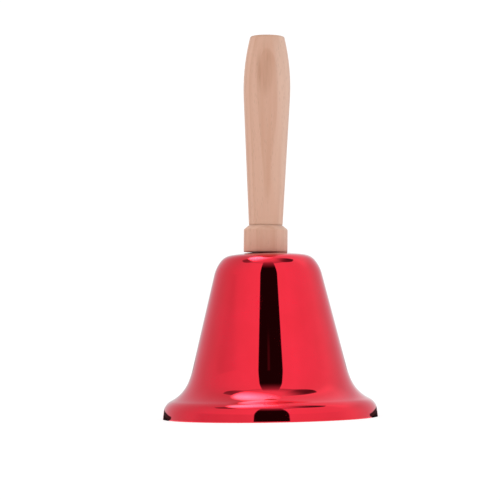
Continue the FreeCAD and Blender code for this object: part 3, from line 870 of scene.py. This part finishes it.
# %% Light the studio
def tent():
    """Brightness of the tent's paper, opening, gap and lamp panel by the direction they lie in."""
    world = bpy.data.worlds.new("light_tent")
    world.use_nodes = True
    bpy.context.scene.world = world
    finish = Finish(world.node_tree)
    towards = finish.node("TexCoord", {}, {}, "Generated")
    part = {axis: finish.node("SeparateXYZ", {}, {"Vector": towards}, axis) for axis in "XYZ"}
    degree, plain_white = 180 / math.pi, 1.05
    azimuth = part["X"].math("ARCTAN2", part["Y"] * -1.0) * degree
    elevation = part["Z"].math("ARCSINE") * degree
    round_tent = azimuth / 360 + 0.5

    def by_azimuth(stops):
        """A tone that changes with azimuth, from stops given in degrees."""
        places = [((place + 180) / 360, tone) for place, tone in stops]
        return finish.node("ValToRGB", {"stops": places}, {"Fac": round_tent})

    beside = azimuth.math("ABSOLUTE")
    to_right, to_front = azimuth.rise(92, 112), beside.rise(95, 75)
    paper = by_azimuth([(-180, 0.70), (-165, 0.65), (-114, 0.68), (-90, 0.76), (-66, 0.87), (-42, 0.955),
                        (-20, 0.99), (42, 0.99), (66, 0.925), (100, 0.91), (126, 0.73), (155, 0.70),
                        (180, 0.85)])
    paper = paper + to_right * elevation.rise(26, 44) * 0.20
    low_left = elevation.rise(24.5, 22.5) * azimuth.rise(-5, -30)
    paper = paper * (1 - to_front * (low_left * 0.09 + elevation.rise(21, 18.5) * 0.07))

    gap_foot = 54.5 + (beside - 92).math("ABSOLUTE").rise(0, 45) * 7.5
    gap_end = beside.rise(107, 103)
    gap = by_azimuth([(-180, 0.0), (-135, 0.05), (-114, 0.45), (-90, 0.70), (-74, 0.62), (-60, 0.25),
                      (-25, 0.20), (25, 0.42), (50, 0.50), (64, 0.80), (92, 0.90), (114, 0.75),
                      (135, 0.10), (180, 0.0)])
    wall = paper * (1 - gap * gap_end * (elevation - gap_foot).rise(-0.4, 0.6))

    middle, half_width = 1.5, 19.0
    opening = (azimuth - middle).math("ABSOLUTE").rise(half_width + 0.6, half_width - 0.6)
    above = ((elevation - 45.0) / 20.0).math("MAXIMUM", 0.0)
    stand = (azimuth + 1.2).math("ABSOLUTE").rise(2.7, 0.9)
    stand = stand * elevation.rise(25.6, 26.1) * elevation.rise(27.6, 26.9)
    inside = 0.012 + above ** 1.5 * 0.35 + stand * 0.040
    wall = wall * (1 - opening) + inside * opening

    bearing, climb = math.radians(-112), math.radians(75)
    brightest, dimmest, falloff = 7.0, 0.95, 0.30
    lamp = Vector((math.sin(bearing), -math.cos(bearing), math.tan(climb))).normalized()
    facing = finish.node("VectorMath", {"operation": "DOT_PRODUCT"}, {0: towards, 1: lamp}, "Value")
    away = facing.math("MINIMUM", 1.0).math("ARCCOSINE") * degree
    panel = (brightest - away * falloff).math("MAXIMUM", dimmest)
    climb_end = by_azimuth([(-180, 0.72), (-140, 0.68), (-60, 0.68), (-30, 0.73), (0, 0.76), (30, 0.78),
                            (60, 0.84), (100, 0.86), (126, 0.80), (180, 0.76)]) * 100.0
    overhead = elevation.rise(63, climb_end)
    tone = wall * (1 - overhead) + panel * overhead
    dark_corner = beside.rise(130, 133) * beside.rise(166, 163) * elevation.rise(3.0, 2.2)
    tone = tone * (1 - dark_corner * 0.93)

    lit = finish.node("Background", {}, {"Color": (1, 1, 1, 1), "Strength": tone})
    white = finish.node("Background", {}, {"Color": (1, 1, 1, 1), "Strength": plain_white})
    straight_on = finish.node("LightPath", {}, {}, "Is Camera Ray")
    seen = finish.node("MixShader", {}, {0: straight_on, 1: lit, 2: white})
    finish.node("OutputWorld", {}, {"Surface": seen})
    print(f"tent: {len(finish.tree.nodes)} nodes")


tent()

# %% [markdown]
# The floor is white paper too. Paper that is lit from all round glows a little even in shade, and
# that keeps it as white as the walls behind the bell, with only a breath of shadow at the rim. Its
# two back corners are cut off at a slant, and past the cuts lies the dark room, which ends the rim's
# reflection in a black wedge on each side. Only the mirror shows that: to a lens that looks at the
# floor straight on, the paper goes on.

# %% Lay the floor
def past_the_cuts(finish, place):
    """1 past the slanting cuts and 0 on the paper: both hold |x| and y between two straight lines."""
    across = finish.node("SeparateXYZ", {}, {"Vector": place}, "X").math("ABSOLUTE")
    back = finish.node("SeparateXYZ", {}, {"Vector": place}, "Y")
    near_slant, far_slant = 0.93, 3.3
    past_near_cut = (back - across * near_slant).rise(-41 * MM, -40 * MM)
    past_far_cut = (across * far_slant - back).rise(110 * MM, 112 * MM)
    return past_near_cut * past_far_cut


def paper_floor(half=3.0):
    """A flat square of paper at the height of the rim."""
    mesh = bpy.data.meshes.new("paper_floor")
    corners = [(-half, -half, 0), (half, -half, 0), (half, half, 0), (-half, half, 0)]
    mesh.from_pydata([(x, y, shell_low.z + z) for x, y, z in corners], [], [(0, 1, 2, 3)])
    floor = bpy.data.objects.new("paper_floor", mesh)
    bpy.context.scene.collection.objects.link(floor)
    material, finish = new_finish("white_paper")
    place = finish.node("TexCoord", {}, {}, "Object")
    pulp = finish.noise(finish.stretch(place, (900, 900, 900)), detail=3)
    tone = finish.blend(pulp, (0.35, 0.35, 0.35, 1), (0.39, 0.39, 0.39, 1))
    paper = finish.node("BsdfPrincipled", {}, {
        "Base Color": tone, "Roughness": 0.9, "Specular IOR Level": 0.1,
        "Emission Color": (1, 1, 1, 1), "Emission Strength": 0.70})
    dark_room = finish.node("BsdfDiffuse", {}, {"Color": (0.02, 0.02, 0.02, 1)})
    straight_on = finish.node("LightPath", {}, {}, "Is Camera Ray")
    hidden = past_the_cuts(finish, place) * (1 - straight_on)
    seen = finish.node("MixShader", {}, {0: hidden, 1: paper, 2: dark_room})
    finish.node("OutputMaterial", {}, {"Surface": seen})
    mesh.materials.append(material)
    print(f"{material.name}: {len(finish.tree.nodes)} nodes")
    return floor


paper_floor()

# %% [markdown]
# The lens.
#
# The bell is seen from straight in front, from a little above the floor and about nine times its own
# width away, through a long lens, with the head tilted up a touch. That keeps the rim's ellipse very
# thin. The lens is turned a little to one side so that the bell stands off the middle.

# %% Set up the lens
def long_lens():
    """A camera in front of the bell, at the height and angle given here in metres and degrees."""
    lens = bpy.data.cameras.new("long_lens")
    lens.lens, lens.sensor_width = 144.5, 36.0
    camera = bpy.data.objects.new("long_lens", lens)
    camera.location = (0, -0.61, 0.029)
    tilt_up, turn_left, roll = 2.056, 0.5035, -0.93
    looking = Euler((math.radians(90 + tilt_up), 0, math.radians(turn_left))).to_matrix()
    rolled = Euler((0, 0, math.radians(roll))).to_matrix()
    camera.rotation_euler = (looking @ rolled).to_euler()
    bpy.context.scene.collection.objects.link(camera)
    bpy.context.scene.camera = camera
    return camera


camera = long_lens()
bpy.context.scene.view_settings.view_transform = "Standard"
print("lens at", tuple(round(v, 3) for v in camera.location))
